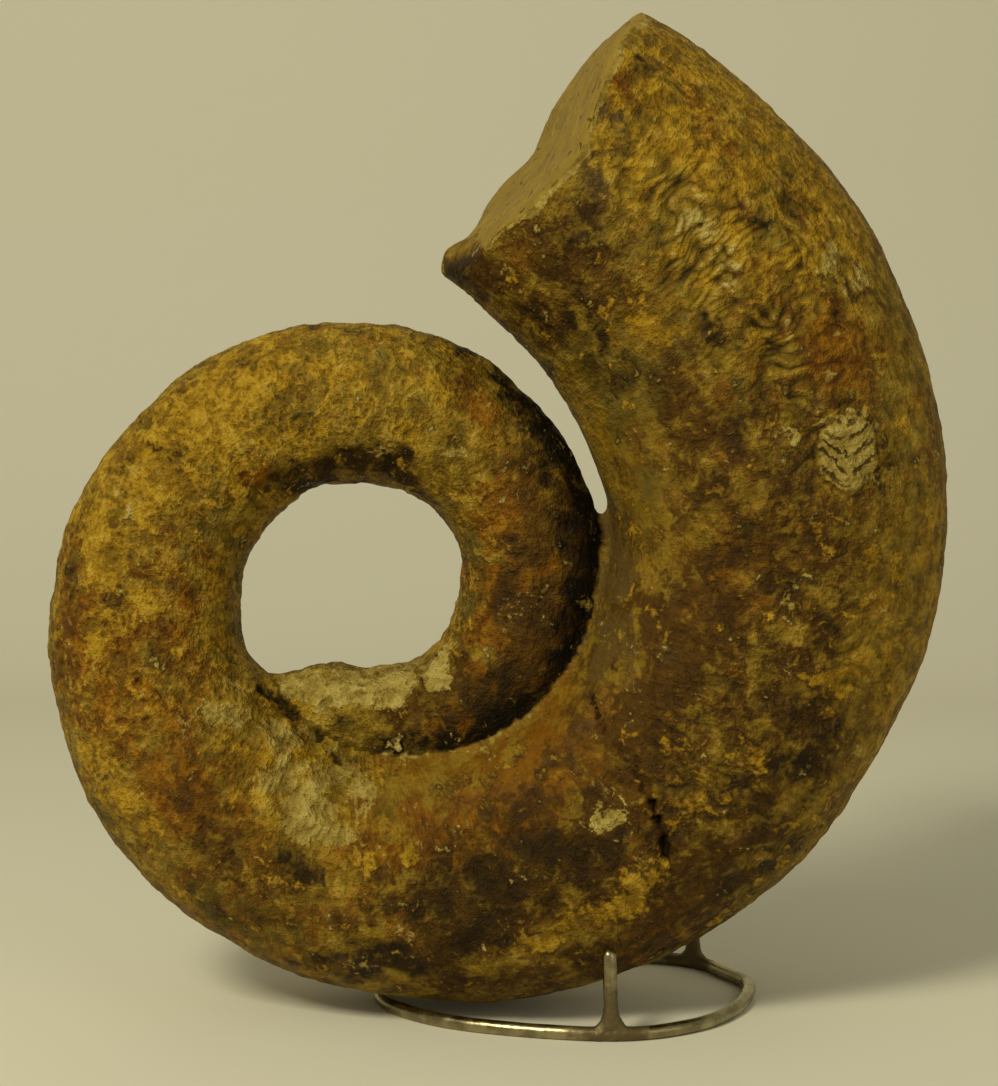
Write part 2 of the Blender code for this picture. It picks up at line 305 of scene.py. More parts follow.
def along_coil(points):
    """Growth angle, turn round the section and place on the straightened tube of points on the skin."""
    offset = points - COIL_AXIS
    radius, depth = np.hypot(offset[:, 0], offset[:, 2]), offset[:, 1]
    angle = np.degrees(np.arctan2(offset[:, 2], offset[:, 0]))
    best = np.full(len(points), np.inf)
    growth, turn, size = (np.zeros(len(points)) for _ in range(3))
    for lap in (0, -360):
        tried = angle + lap
        inner, outer = (station(WHORL, tried, column) for column in (1, 2))
        half = (outer - inner) / 2
        across = (radius - (inner + outer) / 2) / half
        deep = depth / (WHORL_ROUNDNESS * half)
        miss = np.abs(np.hypot(across, deep) - 1)
        miss[(tried < WHORL[0, 0] - PAST_INNER_END) | (tried > WHORL[-1, 0] + PAST_MOUTH)] += OFF_COIL
        better = miss < best
        best = np.where(better, miss, best)
        growth = np.where(better, tried, growth)
        turn = np.where(better, np.arctan2(deep, across), turn)
        size = np.where(better, half, size)
    steps = np.linspace(WHORL[0, 0], WHORL[-1, 0], COIL_STEPS)
    middle = (station(WHORL, steps, 1) + station(WHORL, steps, 2)) / 2
    strides = np.radians(np.diff(steps)) * (middle[1:] + middle[:-1]) / 2
    length = np.interp(growth, steps, np.concatenate([[0], np.cumsum(strides)]))
    return growth, turn, np.stack((length, size * np.cos(turn), size * np.sin(turn)), axis=-1)


# Marks of the shown face are placed where an eye in front of the fossil sees them on the coil's plane
EYE = np.array((0.65, -924.8, 260.8))

# Stains, among them painted shade and painted rim light: growth angle, radius, half sizes along and across
# the coil, tilt inwards in degrees and strength
STAINS_SHADE_AND_RIM_LIGHT = {
    "olive": [
        (-140, 130, 60, 30, 0, 0.3),
        (-100, 160, 60, 20, 0, 0.35),
        (30, 180, 90, 70, 0, 0.25),
        (-355, 51, 42, 7, 0, 1.0),
        (-180, 47, 24, 6, 0, 0.8),
        (-197, 64, 20, 9, 0, 0.6),
        (-110, 150, 24, 10, 0, 0.7),
        (-88, 168, 26, 6, 0, 0.7),
        (38, 134, 32, 14, 0, 0.9),
        (10, 124, 26, 12, 0, 0.6),
        (31, 154, 14, 12, 0, 0.6),
        (15, 235, 30, 8, 0, 0.6),
    ],
    "rust": [
        (-165, 95, 50, 35, 0, 0.4),
        (-95, 118, 110, 55, 0, 0.35),
        (20, 215, 70, 45, 0, 0.3),
        (-360, 76, 52, 22, 0, 1.0),
        (-405, 74, 26, 16, 0, 0.8),
        (-302, 90, 16, 10, 0, 0.6),
        (-228, 56, 12, 6, 0, 0.8),
        (-175, 76, 20, 10, 0, 0.7),
        (-163, 106, 34, 20, 0, 0.6),
        (-124, 114, 22, 17, 0, 0.95),
        (-64, 118, 36, 18, 0, 0.9),
        (-42, 111, 34, 19, 0, 0.9),
        (-50, 199, 20, 8, 0, 0.8),
        (-1, 158, 24, 15, 0, 0.85),
        (-30, 138, 24, 12, 0, 0.7),
        (24, 226, 18, 12, 0, 0.75),
        (33, 212, 10, 8, 0, 0.6),
        (53, 244, 26, 6, -10, 0.6),
        (61, 236, 9, 6, 0, 0.8),
        (63, 152, 10, 8, 0, 0.7),
    ],
    "brown": [
        (-60, 150, 70, 45, 0, 0.55),
        (-15, 175, 140, 60, 0, 0.6),
        (-50, 190, 90, 16, 0, 0.4),
        (-340, 88, 40, 12, 0, 0.6),
        (-75, 150, 60, 26, 0, 0.35),
        # brown stain with painted shade on the last whorl's inside, where the inner whorl shades it
        (-4, 112, 50, 9, 0, 0.55),
        (-385, 80, 34, 16, 0, 0.8),
        (-418, 62, 22, 10, 0, 0.95),
        (-120, 128, 20, 10, 0, 0.6),
        (-105, 140, 26, 12, 0, 0.6),
        (-123, 115, 18, 12, 0, 0.6),
        (-46, 150, 24, 20, 0, 0.6),
        (-365, 84, 50, 18, 0, 0.75),
        (71, 136, 14, 10, 0, 0.9),
        (-43, 205, 24, 12, 0, 0.6),
        (-18, 141, 42, 18, 0, 0.95),
        (8, 185, 26, 14, 0, 0.5),
        (24, 156, 26, 16, 0, 0.75),
        (55, 155, 28, 30, 0, 0.75),
        (66, 134, 9, 8, 0, 0.9),
    ],
    "umber": [
        # painted shade: the top inner lip of the hole, darkened as shade
        (-269, 46, 38, 10, 0, 0.75),
        (-80, 166, 46, 9, 0, 0.7),
        (71, 136, 8, 7, 0, 0.8),
        # dark stain and painted shade along the inner whorl's outer edge, next to the last whorl, in this
        # line and the next
        (-340, 103, 66, 12, 0, 0.8),
        (-405, 84, 34, 16, 0, 0.9),
        (-35, 205, 60, 22, 0, 0.35),
        (-99, 123, 20, 6, 0, 0.6),
        (-75, 140, 22, 16, 0, 0.5),
        (-58, 148, 38, 20, 0, 0.65),
        (-47, 158, 14, 6, -20, 0.8),
        (-23, 201, 22, 13, 0, 0.55),
        (20, 175, 8, 6, 0, 0.7),
        (34, 180, 9, 8, 0, 0.7),
        (46, 140, 30, 12, 0, 0.6),
        (57, 175, 6, 12, 0, 0.6),
        (60, 243, 5, 4, 0, 0.9),
    ],
    "grey": [
        # grey stain with painted shade on the last whorl's inside, where the inner whorl shades it
        (-2, 111, 58, 10, 0, 0.9),
        (-46, 177, 7, 5, 0, 0.8),
        (14, 215, 24, 18, 0, 0.4),
        (58, 193, 8, 8, 0, 1.0),
        (61, 222, 8, 8, 0, 1.0),
    ],
    "ochre": [
        (-225, 78, 110, 45, 0, 0.4),
        (-20, 225, 120, 18, 0, 0.35),
        (45, 228, 60, 40, 0, 0.4),
        (-225, 93, 40, 16, 0, 0.7),
        (-178, 104, 50, 26, 0, 0.35),
        (60, 240, 30, 20, 0, 0.5),
        (-104, 92, 26, 20, 0, 0.5),
        (-185, 100, 8, 5, 0, 0.8),
        (-140, 135, 30, 8, 0, 0.8),
        (-80, 120, 14, 12, 0, 0.7),
        (-60, 177, 40, 8, -8, 0.9),
        (-47, 177, 14, 12, 0, 0.8),
        (-31, 176, 24, 18, 0, 0.65),
        (-11, 210, 30, 5, -53, 0.8),
        # painted rim light: a paler band along the last whorl's outer edge, in this line and the next
        (0, 246, 60, 5, 0, 0.8),
        (35, 250, 24, 6, 0, 0.7),
        (40, 160, 17, 7, 50, 0.9),
        # painted rim light along the last whorl's outer edge
        (50, 256, 30, 5, 0, 0.9),
    ],
    # Black: dark stain and painted shade along the inner whorl's outer edge, where the last whorl shades it
    "black": [
        (-335, 107, 62, 9, 0, 1.0),
        (-378, 100, 30, 11, 0, 1.0),
        (-364, 98, 30, 10, 0, 0.9),
        (-408, 90, 26, 12, 0, 0.95),
        (-435, 78, 24, 9, 0, 0.75),
        (-447, 66, 10, 5, 0, 0.5),
    ],
    "pale": [
        (-481, 52, 10, 9, 0, 0.9),
        (-455, 47, 24, 10, 0, 1.0),
        (-425, 47, 26, 9, 0, 1.0),
        (-407, 57, 5, 8, 0, 1.0),
        (-388, 88, 4, 2, 0, 0.8),
        (-363, 82, 3, 2, 0, 0.8),
        (-312, 70, 9, 2, 42, 0.9),
        (-113, 72, 7, 5, 0, 0.9),
        (-110, 84, 24, 16, -20, 0.4),
        (-101, 98, 22, 13, 0, 0.55),
        (-96, 90, 18, 12, 0, 0.5),
        (-134, 69, 14, 8, 0, 0.55),
        (-90, 86, 14, 4, -40, 0.85),
        (-99, 73, 20, 3, -41, 0.8),
        (-128, 76, 12, 9, 0, 0.4),
        (-98, 110, 20, 6, 0, 0.95),
        (-68, 80, 20, 3, -20, 0.8),
        (-43, 147, 11, 7, 0, 0.95),
        (-45, 90, 12, 3, -15, 0.7),
        (-33, 96, 8, 4, 0, 0.8),
        (-3, 182, 5, 3, 0, 0.8),
        (14, 215, 17, 15, 0, 0.9),
        (17, 195, 6, 5, 0, 0.5),
        (29, 208, 14, 9, 0, 0.65),
        (32, 241, 14, 7, 0, 0.65),
        (43, 206, 18, 15, 0, 0.7),
    ],
}
EVERYWHERE = {  # how much of each stain is on all the stone
    "olive": 0.18,
    "rust": 0.20,
    "brown": 0.14,
    "umber": 0.06,
    "grey": 0.0,
    "ochre": 0.26,
    "black": -0.1,
    "pale": -0.05,
}
# Wrinkled ground left by the folded edges of the shell's chamber walls, in the same columns
FRILLS = [
    (14, 215, 20, 20, 0, 0.8),
    (30, 208, 34, 26, 0, 1.0),
    (42, 206, 34, 26, 0, 1.0),
    (32, 240, 30, 14, 0, 0.9),
    (52, 225, 30, 24, 0, 0.6),
    (-11, 210, 40, 20, 0, 0.5),
    (-31, 176, 30, 22, 0, 0.5),
    (-105, 90, 34, 26, 0, 0.4),
]
# Rough ground where the inner end of the coil and the matrix lie on the last whorl, in the same columns
RUBBLE = [
    (-112, 66, 34, 8, 0, 1.0),
    (-106, 88, 26, 20, 0, 0.9),
    (-125, 100, 20, 14, 0, 0.5),
    (-35, 112, 24, 14, 0, 0.5),
]
# Grooves: corners as growth angle and radius, then half width and depth
GROOVES = [
    ([(-213, 101), (-216, 81)], 1.8, 1.4),
    ([(-128, 61), (-119, 59), (-111, 63), (-103, 62), (-96, 66)], 3.2, 2.2),
    ([(-112, 61), (-106, 66), (-98, 71), (-93, 79), (-88, 83)], 2.6, 1.2),
    ([(-26, 112), (-33, 128), (-33, 142), (-38, 162)], 1.8, 0.8),
    ([(-37, 159), (-39, 168), (-42, 180)], 2.4, 5.0),
]
# Dents and lumps: growth angle, radius, half size and height
DENTS = [
    (-262, 106, 3, -1.2),
    (-217, 107, 4, -1.5),
    (-28, 99, 8, 2.2),
    (-32, 108, 5, -1.2),
    (41, 241, 4, -1.8),
    (64, 186, 3, -1.5),
    (65, 209, 3, -2.0),
    (65, 227, 3.5, -2.0),
]
ROSETTE, ROSETTE_REACH, ROSETTE_NARROWING = (14, 215), 19, 0.78  # the leaf-like mark's place and size
FRONT_FADE = (6, -10)  # depth from the coil's middle plane at which the seen marks end and are whole

fossil_mesh = remeshed("ammonite", tube_mesh("ammonite", whole_tube()), SKIN_CELL)
place = relaxed(fossil_mesh, points_of(fossil_mesh), SKIN_ROUNDS)
put_points(fossil_mesh, place)
growth, turn, coil_place = along_coil(place)
front = step(*FRONT_FADE, place[:, 1] - COIL_AXIS[1])
behind = 1 - front


def seen(points):
    """Where the eye sees points on the coil's plane: x and z from its axis, growth angle and radius."""
    reach = (COIL_AXIS[1] - EYE[1]) / (points[:, 1] - EYE[1])
    offset = EYE + (points - EYE) * reach[:, None] - COIL_AXIS
    x, z = offset[:, 0], offset[:, 2]
    angle = np.degrees(np.arctan2(z, x))
    return x, z, angle + 360 * np.round((growth - angle) / 360), np.hypot(x, z)


STRAY, STRAY_SIZE = 6, 20  # how far the edges of the marks stray, and the length of one bend
EDGE_FADE = (1.7, 0.2)  # where a mark ends and where it is whole, in its half sizes
seen_x, seen_z, seen_growth, seen_radius = seen(place)
_, _, loose_growth, loose_radius = seen(place + STRAY * noise_vector(place, STRAY_SIZE, 11, 3))


def marked(marks):
    """How strongly marks cover each point, 0 to 1."""
    bare = np.ones(len(place))
    for at_growth, at_radius, half_along, half_across, tilt, strength in marks:
        along = np.radians(loose_growth - at_growth) * at_radius
        outward = loose_radius - at_radius
        c, s = math.cos(math.radians(tilt)), math.sin(math.radians(tilt))
        reach = np.hypot((along * c - outward * s) / half_along, (outward * c + along * s) / half_across)
        bare *= 1 - strength * step(*EDGE_FADE, reach)
    return (1 - bare) * front


QUARTER_TURN = 90


def line_distance(corners):
    """Distance of each point from a line through corners given as growth angle and radius."""
    nearest = np.full(len(place), np.inf)
    ends = [(r * math.cos(math.radians(g)), r * math.sin(math.radians(g))) for g, r in corners]
    for (x0, z0), (x1, z1) in zip(ends, ends[1:]):
        dx, dz = x1 - x0, z1 - z0
        t = np.clip(((seen_x - x0) * dx + (seen_z - z0) * dz) / (dx * dx + dz * dz), 0, 1)
        nearest = np.minimum(nearest, np.hypot(seen_x - x0 - t * dx, seen_z - z0 - t * dz))
    same_whorl = np.abs(seen_growth - corners[0][0]) < QUARTER_TURN
    return np.where(same_whorl & (front > 0.5), nearest, np.inf)


def keep(mesh, values_by_name):
    """Keeps numbers and vectors on a mesh's points for its material to read."""
    for name, values in values_by_name.items():
        kind, key = ("FLOAT", "value") if values.ndim == 1 else ("FLOAT_VECTOR", "vector")
        kept = mesh.attributes.new(name, kind, "POINT")
        kept.data.foreach_set(key, values.astype(np.float32).ravel())


# Stains, among them painted shade and painted rim light, with random patches on the unseen back and flecks
# all over
BACK_LEVELS = {
    "olive": 0.45,
    "rust": 0.75,
    "brown": 0.7,
    "umber": 0.6,
    "grey": 0.4,
    "ochre": 0.5,
    "pale": 0.55,
}
BACK_PATCH, FLECK, FLECK_LEVEL = 46, 24, 0.24
KEPT_OFF_DARK = {"olive": 0.22, "ochre": 0.36, "pale": 0.14}  # how far dark stains and painted shade hold light ones back
masks = {kind: marked(marks) for kind, marks in STAINS_SHADE_AND_RIM_LIGHT.items()}
dark = np.clip(masks["brown"] + masks["umber"] + masks["black"] + 0.5 * masks["rust"], 0, 1)
for k, (kind, level) in enumerate(BACK_LEVELS.items()):
    masks[kind] += behind * level * step(0.0, 0.55, noise(place, BACK_PATCH, 40 + k, 2))
    masks[kind] += FLECK_LEVEL * noise(place, FLECK, 50 + k)
for kind, level in EVERYWHERE.items():
    masks[kind] = masks[kind] + level * (1 - masks[kind])
for kind, share in KEPT_OFF_DARK.items():
    masks[kind] -= share * dark * front

# Wrinkles, which also run faintly over all of the last whorl
LAST_WHORL = (-120, -60)  # growth degrees over which the inner whorl's ground gives way to the last whorl's
BACK_WRINKLE_START, BACK_WRINKLE_PATCH = (-130, -60), 60
FAINT_WRINKLES, WRINKLE_PATCH = 0.25, 22
back_wrinkles = step(0.0, 0.5, noise(place, BACK_WRINKLE_PATCH, 26, 2))
masks["frill"] = marked(FRILLS)
masks["frill"] += behind * back_wrinkles * step(*BACK_WRINKLE_START, growth)
masks["frill"] = np.clip(masks["frill"] + FAINT_WRINKLES * step(*LAST_WHORL, growth), 0, 1)
masks["frill"] *= 0.45 + 0.55 * step(-0.35, 0.25, noise(place, WRINKLE_PATCH, 68, 2))

# The broken face and its pale edge, which the knob at the lower tip lacks. Heights are from the break, less
# than nothing inside it, where each of them begins and where it is whole
FACE_HEIGHTS, EDGE_HEIGHTS = (-2.2, -0.6), (-5.5, -1.5)
NEAR_MOUTH = (30, 44)  # growth degrees
KNOB_EDGE = (KNOB_PLACE + 6, KNOB_PLACE + 16)
break_along, over_break = on_break(place)[1:]
near_mouth = step(*NEAR_MOUTH, growth)
broken = step(*FACE_HEIGHTS, over_break) * near_mouth
off_knob = step(*KNOB_EDGE, break_along + 3 * noise(place, 8, 63, 2))
masks["broken"] = broken * off_knob
masks["chamfer"] = step(*EDGE_HEIGHTS, over_break) * near_mouth * (1 - broken) * front * off_knob

# The smooth groove where the inner whorl lay against the last one, and the coarser grain of the inner whorls
GROOVE_SIDES = (70, 40)  # degrees round the section from the coil's inside
GROOVE_START, GROOVE_END, COARSE_WHORLS = (-86, -70), (44, 24), (-100, -160)  # growth degrees
from_inside = np.abs(np.degrees(turn) % 360 - 180)
masks["contact"] = step(*GROOVE_SIDES, from_inside) * step(*GROOVE_START, growth) * step(*GROOVE_END, growth)
masks["grain"] = step(*COARSE_WHORLS, growth) * (1 - np.clip(masks["brown"], 0, 1)) * (1 - masks["black"])

# Relief: heights and depths in millimetres along the skin's normals
SWELLINGS = ((0.50, 26, 32, 2), (0.38, 9, 33, 3))  # height, size of its lumps, seed and octaves
GRAIN_HEIGHT, COARSE_GRAIN_HEIGHT = 0.25, 0.30
PIT_DEPTH = 0.9
MATRIX_THICKNESS, MATRIX_LUMPS = 0.6, 1.3
MATRIX_END = (-90, -100)  # growth degrees up to which pale crust is raised matrix
RUBBLE_LUMPS, RUBBLE_GAPS, RUBBLE_HOLES = 2.0, 1.6, 0.36
FOLD_HEIGHT, FAINT_FOLD_HEIGHT, FOLD_RISE = 1.5, 0.35, 0.35
FOLD_STRAY, FOLD_BEND = 5, 15  # how far the folds stray and the length of one bend
OUTER_BAND = (222, 240)  # radius beyond which the folds run along the coil
ROSETTE_HEIGHT, BREAK_ROUGHNESS = 0.6, 0.5
WORN_CONTACT = 0.7  # how much of the relief the groove between the whorls lacks
SETBACK = 0.35  # how far inside the solid the skin's mean lies
normals = normals_of(fossil_mesh)
relief = sum(height * noise(place, size, seed, octaves) for height, size, seed, octaves in SWELLINGS)
relief += (GRAIN_HEIGHT + COARSE_GRAIN_HEIGHT * masks["grain"]) * noise(place, 4.6, 34, 2)
relief -= PIT_DEPTH * step(0.35, 0.75, noise(place, 8, 35, 2)) * (0.4 + 0.6 * masks["grain"])
matrix = step(0.3, 0.6, masks["pale"]) * step(*MATRIX_END, growth)
relief += matrix * (MATRIX_THICKNESS + MATRIX_LUMPS * noise(place, 8, 36, 3))
rubble = marked(RUBBLE)
masks["pale"] -= RUBBLE_HOLES * rubble * step(-0.1, 0.3, noise(place, 6, 69, 3))
relief += rubble * (RUBBLE_LUMPS * noise(place, 10, 62, 3) - RUBBLE_GAPS * np.abs(noise(place, 14, 65, 2)))
bent = coil_place + FOLD_STRAY * noise_vector(place, FOLD_BEND, 60, 2)
radial_folds = noise(bent * (1, 0.34, 0.34), 6.5, 37, 2)
running_folds = noise(bent * (0.30, 1, 1), 6.0, 38, 2)
masks["outer"] = step(*OUTER_BAND, seen_radius)
folds = radial_folds + masks["outer"] * (running_folds - radial_folds)
relief += masks["frill"] * FOLD_HEIGHT * (FOLD_RISE - np.abs(folds))
relief += FAINT_FOLD_HEIGHT * radial_folds * (1 - masks["frill"])

rosette_x, rosette_z = (ROSETTE[1] * wave(math.radians(ROSETTE[0])) for wave in (math.cos, math.sin))
rosette_place = np.stack((seen_x - rosette_x, seen_z - rosette_z, np.zeros(len(place))), axis=-1)
from_rosette = np.hypot(rosette_place[:, 0] / ROSETTE_NARROWING, rosette_place[:, 1])
from_rosette += 2.2 * noise(place, 11, 67, 2)
same_whorl = np.abs(seen_growth - ROSETTE[0]) < QUARTER_TURN
masks["rosette"] = step(ROSETTE_REACH, ROSETTE_REACH - 6, from_rosette) * front * same_whorl
relief += masks["rosette"] * ROSETTE_HEIGHT
masks["pale"] = np.maximum(masks["pale"], 1.1 * masks["rosette"])
masks["frill"] *= 1 - masks["rosette"]

cuts = np.zeros(len(place))
masks["cut_line"] = np.full(len(place), -1.0)
groove_stray = 1.8 * noise(place, 7, 61, 3) + 1.5 * step(0.0, 0.6, noise(place, 9, 66, 2))
for corners, half_width, depth in GROOVES:
    distance = line_distance(corners) + groove_stray
    cuts = np.maximum(cuts, depth * step(half_width, 0, distance))
    line = np.clip(1 - distance / half_width, -1, 1) * min(1, 0.4 + depth / 3)
    masks["cut_line"] = np.maximum(masks["cut_line"], line)
relief -= cuts
for at_growth, at_radius, half_size, height in DENTS:
    away = np.hypot(np.radians(seen_growth - at_growth) * at_radius, seen_radius - at_radius)
    lump = height * step(half_size, 0.2 * half_size, away) * front
    relief += lump
    cuts = np.maximum(cuts, -lump)
relief *= 1 - WORN_CONTACT * masks["contact"]
relief = np.where(broken > 0.5, BREAK_ROUGHNESS * noise(place, 12, 39, 3) - cuts, relief)

# Where the stand holds the stone, its skin rises no more than this, so that it stays clear of the rods
RISE_AT_ROD, FREE_RISE, ROD_NEARNESS = 0.1, 3.0, (4, 18)
STAND_REACH = 60  # height below which the skin can be near the stand
cad_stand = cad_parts["stand"]
rod_points = np.array([cad_stand.matrix_world @ vert.co for vert in cad_stand.data.vertices]) / MM
low_down = place[:, 2] < STAND_REACH
to_rod = np.full(len(place), np.inf)
for point in rod_points:
    to_rod[low_down] = np.minimum(to_rod[low_down], np.linalg.norm(place[low_down] - point, axis=1))
relief = np.minimum(relief, RISE_AT_ROD + FREE_RISE * step(*ROD_NEARNESS, to_rod))

BOX_MARGIN = 0.05
low, high = (np.array(corner) / MM for corner in cad_box)
weathered = place + normals * (relief - SETBACK)[:, None]
put_points(fossil_mesh, np.clip(weathered, low + BOX_MARGIN, high - BOX_MARGIN))
masks.update(relief=relief, cuts=np.clip(cuts, 0, 1))
keep(fossil_mesh, masks)

# Broad blotches of colour, and the bent places by which the finer ones are laid
SOFT_NOISE = 0.32  # brings the noise of the points to the spread of the shader's own
COLOUR_STRAY, LOBE_STRAY = 8, 18
loose_place = place + COLOUR_STRAY * SOFT_NOISE * noise_vector(place, 6, 80, 2)
keep(fossil_mesh, {
    "coil_place": coil_place,
    "bent_place": coil_place + LOBE_STRAY * SOFT_NOISE * noise_vector(place, 16, 84, 2),
    "loose_place": loose_place,
    "rosette_place": rosette_place,
    "blotch": SOFT_NOISE * noise(loose_place, 10, 88, 3),
    "broad": SOFT_NOISE * noise_vector(loose_place, 12, 91, 3),
})


class Amount:
    """An output of a shader node. Arithmetic on it adds Math nodes."""

    def __init__(self, finish, output):
        self.finish = finish
        self.output = output

    def _math(self, operation, *values):
        return self.finish.node("ShaderNodeMath", {"operation": operation}, dict(enumerate(values)))

    def __add__(self, other):
        return self._math("ADD", self, other)

    def __sub__(self, other):
        return self._math("SUBTRACT", self, other)

    def __mul__(self, other):
        return self._math("MULTIPLY", self, other)

    __radd__ = __add__
    __rmul__ = __mul__

    def __rsub__(self, other):
        return self._math("SUBTRACT", other, self)

    def __abs__(self):
        return self._math("ABSOLUTE", self)

    def part(self):
        """What is left of a value over a whole number."""
        return self._math("FRACT", self)

    def between(self, low, high):
        """0 at low and 1 at high, with a smooth step between them."""
        return self.finish.node(
            "ShaderNodeMapRange",
            {"interpolation_type": "SMOOTHSTEP"},
            {"Value": self, "From Min": low, "From Max": high},
        )


class Finish:
    """A material being put together from nodes round one Principled shader."""

    def __init__(self, name):
        self.material = bpy.data.materials.new(name)
        self.material.use_nodes = True
        self.nodes = self.material.node_tree.nodes
        self.links = self.material.node_tree.links
        self.shader = self.nodes["Principled BSDF"]
        object_place = self.node("ShaderNodeTexCoord", output="Object")
        self.place = self.scaled(object_place, 1 / MM)

    def node(self, kind, settings=None, inputs=None, output=0):
        made = self.nodes.new(kind)
        for name, value in (settings or {}).items():
            if name == "stops":
                made.color_ramp.elements.remove(made.color_ramp.elements[1])
                for stop, tint in value:
                    made.color_ramp.elements.new(stop).color = tint
                made.color_ramp.elements.remove(made.color_ramp.elements[0])
            else:
                setattr(made, name, value)
        for name, value in (inputs or {}).items():
            self.feed(made.inputs[name], value)
        return Amount(self, made.outputs[output])

    def feed(self, socket, value):
        if isinstance(value, Amount):
            self.links.new(value.output, socket)
        else:
            socket.default_value = value

    def scaled(self, vector, factor):
        return self.node("ShaderNodeVectorMath", {"operation": "SCALE"}, {0: vector, "Scale": factor})

    def moved(self, vector, offset):
        return self.node("ShaderNodeVectorMath", {"operation": "ADD"}, {0: vector, 1: offset})

    def times(self, vector, factors):
        return self.node("ShaderNodeVectorMath", {"operation": "MULTIPLY"}, {0: vector, 1: factors})

    def cloud(self, size, detail, roughness, place=None):
        """Noise in lumps of a size in millimetres, about 0.2 to 0.8."""
        return self.node(
            "ShaderNodeTexNoise",
            {},
            {"Vector": place or self.place, "Scale": 1 / size, "Detail": detail, "Roughness": roughness},
        )

    def lobes(self, size, place):
        """Packed lobes of a size in millimetres: 0 in a lobe's middle, rising to its edge."""
        return self.node("ShaderNodeTexVoronoi", {"feature": "F1"}, {"Vector": place, "Scale": 1 / size})

    def channels(self, vector):
        return [self.node("ShaderNodeSeparateXYZ", {}, {0: vector}, k) for k in range(3)]

    def held(self, name, output="Fac"):
        """A value kept on the mesh's points."""
        return self.node("ShaderNodeAttribute", {"attribute_name": name}, output=output)

    def ramp(self, value, stops):
        """A colour picked by a value, from (value, colour) stops."""
        return self.node("ShaderNodeValToRGB", {"stops": stops}, {"Fac": value})

    def mixed(self, share, first, second):
        """One colour or vector over another."""
        return self.node("ShaderNodeMix", {"data_type": "RGBA"}, {0: share, 6: first, 7: second}, output=2)

    def bump(self, height):
        """A surface raised by millimetres."""
        return self.node("ShaderNodeBump", {}, {"Strength": 1.0, "Distance": 1.0 * MM, "Height": height})

    def set(self, **values):
        for name, value in values.items():
            self.feed(self.shader.inputs[name.replace("_", " ")], value)


def colour(*screen):
    """A linear colour from screen values of 0 to 255."""
    shares = (value / 255 for value in screen)
    return tuple(((s + 0.055) / 1.055) ** 2.4 if s > 0.04045 else s / 12.92 for s in shares) + (1,)


# Each finish of the stone: its dark, middle, light and lightest colour
FINISHES = {
    "gold": ((46, 34, 6), (112, 87, 18), (150, 121, 37), (194, 168, 84)),
    "olive": ((34, 27, 5), (82, 66, 17), (112, 94, 34), (150, 136, 70)),
    "rust": ((38, 20, 1), (98, 60, 4), (136, 90, 9), (180, 138, 40)),
    "brown": ((28, 16, 2), (62, 40, 5), (86, 58, 10), (124, 94, 34)),
    "umber": ((20, 13, 1), (38, 25, 3), (54, 37, 6), (86, 65, 20)),
    "grey": ((44, 32, 13), (80, 60, 25), (100, 78, 36), (132, 111, 60)),
    "ochre": ((54, 38, 5), (130, 97, 14), (168, 131, 30), (204, 174, 78)),
    "black": ((8, 5, 1), (15, 10, 2), (26, 18, 4), (52, 38, 12)),
    "pale": ((70, 54, 17), (136, 113, 48), (168, 146, 74), (204, 186, 122)),
    "break": ((62, 47, 12), (128, 103, 34), (150, 124, 50), (182, 160, 88)),
}
TONE_STOPS = (0.0, 0.42, 0.62, 1.0)
COVERS = (  # the stains, among them painted shade and painted rim light, as they lie over the gold ground: strength, softness of the edge and its fraying
    ("olive", 0.9, 0.28, 0),
    ("rust", 0.9, 0.28, 1),
    ("brown", 0.9, 0.26, 2),
    ("umber", 0.9, 0.28, 0),
    ("grey", 0.9, 0.24, 1),
    ("ochre", 0.9, 0.17, 2),
    ("black", 1.0, 0.42, 0),
    ("pale", 1.0, 0.12, 1),
)
MIDDLE_TONE = 0.52
LOBE, LOBE_EDGE = 3.5, (0.55, 0.8)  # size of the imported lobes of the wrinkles, and where their gaps begin
RIB_SPACING, RIB_LEAN, LEAF_LEAN = 6.6, 0.75, 0.2
ASIDE, ALOFT = (40, 0, 0), (0, 90, 0)  # shifts that keep noises of the same place apart

stone = Finish("fossil_stone")
on_coil, on_bent, on_loose = (
    stone.held(name, "Vector") for name in ("coil_place", "bent_place", "loose_place")
)
grain, frill, raised, blotch = (stone.held(name) for name in ("grain", "frill", "relief", "blotch"))
calm = stone.held("contact") * 0.6

# Grain: lumps, specks, fibres along the coil and mottling
clump = stone.cloud(4.6, 1.5, 0.6, stone.moved(on_loose, ASIDE)) - 0.5
speck = stone.cloud(2.2, 2, 0.75) - 0.5
fibre = stone.cloud(2.8, 2, 0.7, stone.times(on_coil, (1.0, 0.3, 0.3))) - 0.5
mottle = stone.cloud(2.6, 2, 0.65, stone.moved(on_loose, ALOFT))
dark_grain = mottle.between(0.57, 0.66)
pale_grain = mottle.between(0.38, 0.30)

# Wrinkles: lobes that lie across the coil on its flank and run along it near its outside
runs_along = (stone.held("outer") + clump * 1.5).between(0.49, 0.51)
fold_place = stone.mixed(
    runs_along, stone.times(on_bent, (1.0, 0.46, 0.46)), stone.times(on_bent, (0.33, 0.9, 0.9))
)
fold = stone.lobes(LOBE, fold_place)
# the gaps between the wrinkles' lobes, which are painted darker as shade
fold_gap_shade = fold.between(*LOBE_EDGE) * frill

